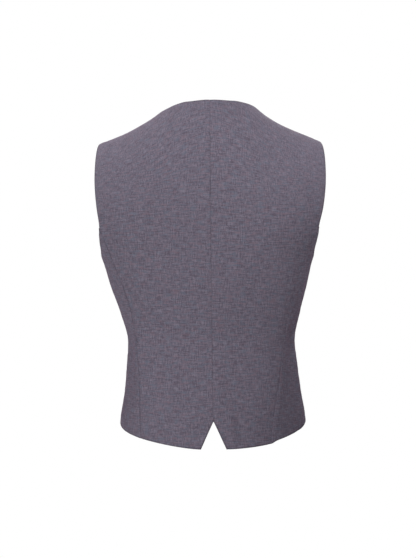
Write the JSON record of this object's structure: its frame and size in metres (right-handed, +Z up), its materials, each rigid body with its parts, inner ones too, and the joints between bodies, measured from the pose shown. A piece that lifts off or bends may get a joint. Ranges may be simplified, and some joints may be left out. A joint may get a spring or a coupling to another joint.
{
  "type": "suit waistcoat",
  "caption": "Women's sleeveless suit waistcoat in its worn hollow shape: V neck, buttoned front with pointed hems, shaped waist, curved back hem with an inverted V at the centre.",
  "frame": {"origin": "where the shoulders carry it: midway between the two shoulder seams, at the height of their middle", "axes": "+Z up, the front faces -Y, the wearer's left is +X"},
  "size_m": [0.3451, 0.2497, 0.5214],
  "materials": {
    "worsted": "fine mauve-grey end-on-end worsted, matt with a slight sheen",
    "button": "dark grey-plum horn-effect, satin"
  },
  "bodies": {
    "root": {"back_left": "worsted", "back_right": "worsted", "side_back_left": "worsted", "side_back_right": "worsted", "front_left": "worsted", "front_right": "worsted", "button_1": "button", "button_2": "button", "button_3": "button", "button_4": "button", "button_5": "button"}
  },
  "joints": []
}
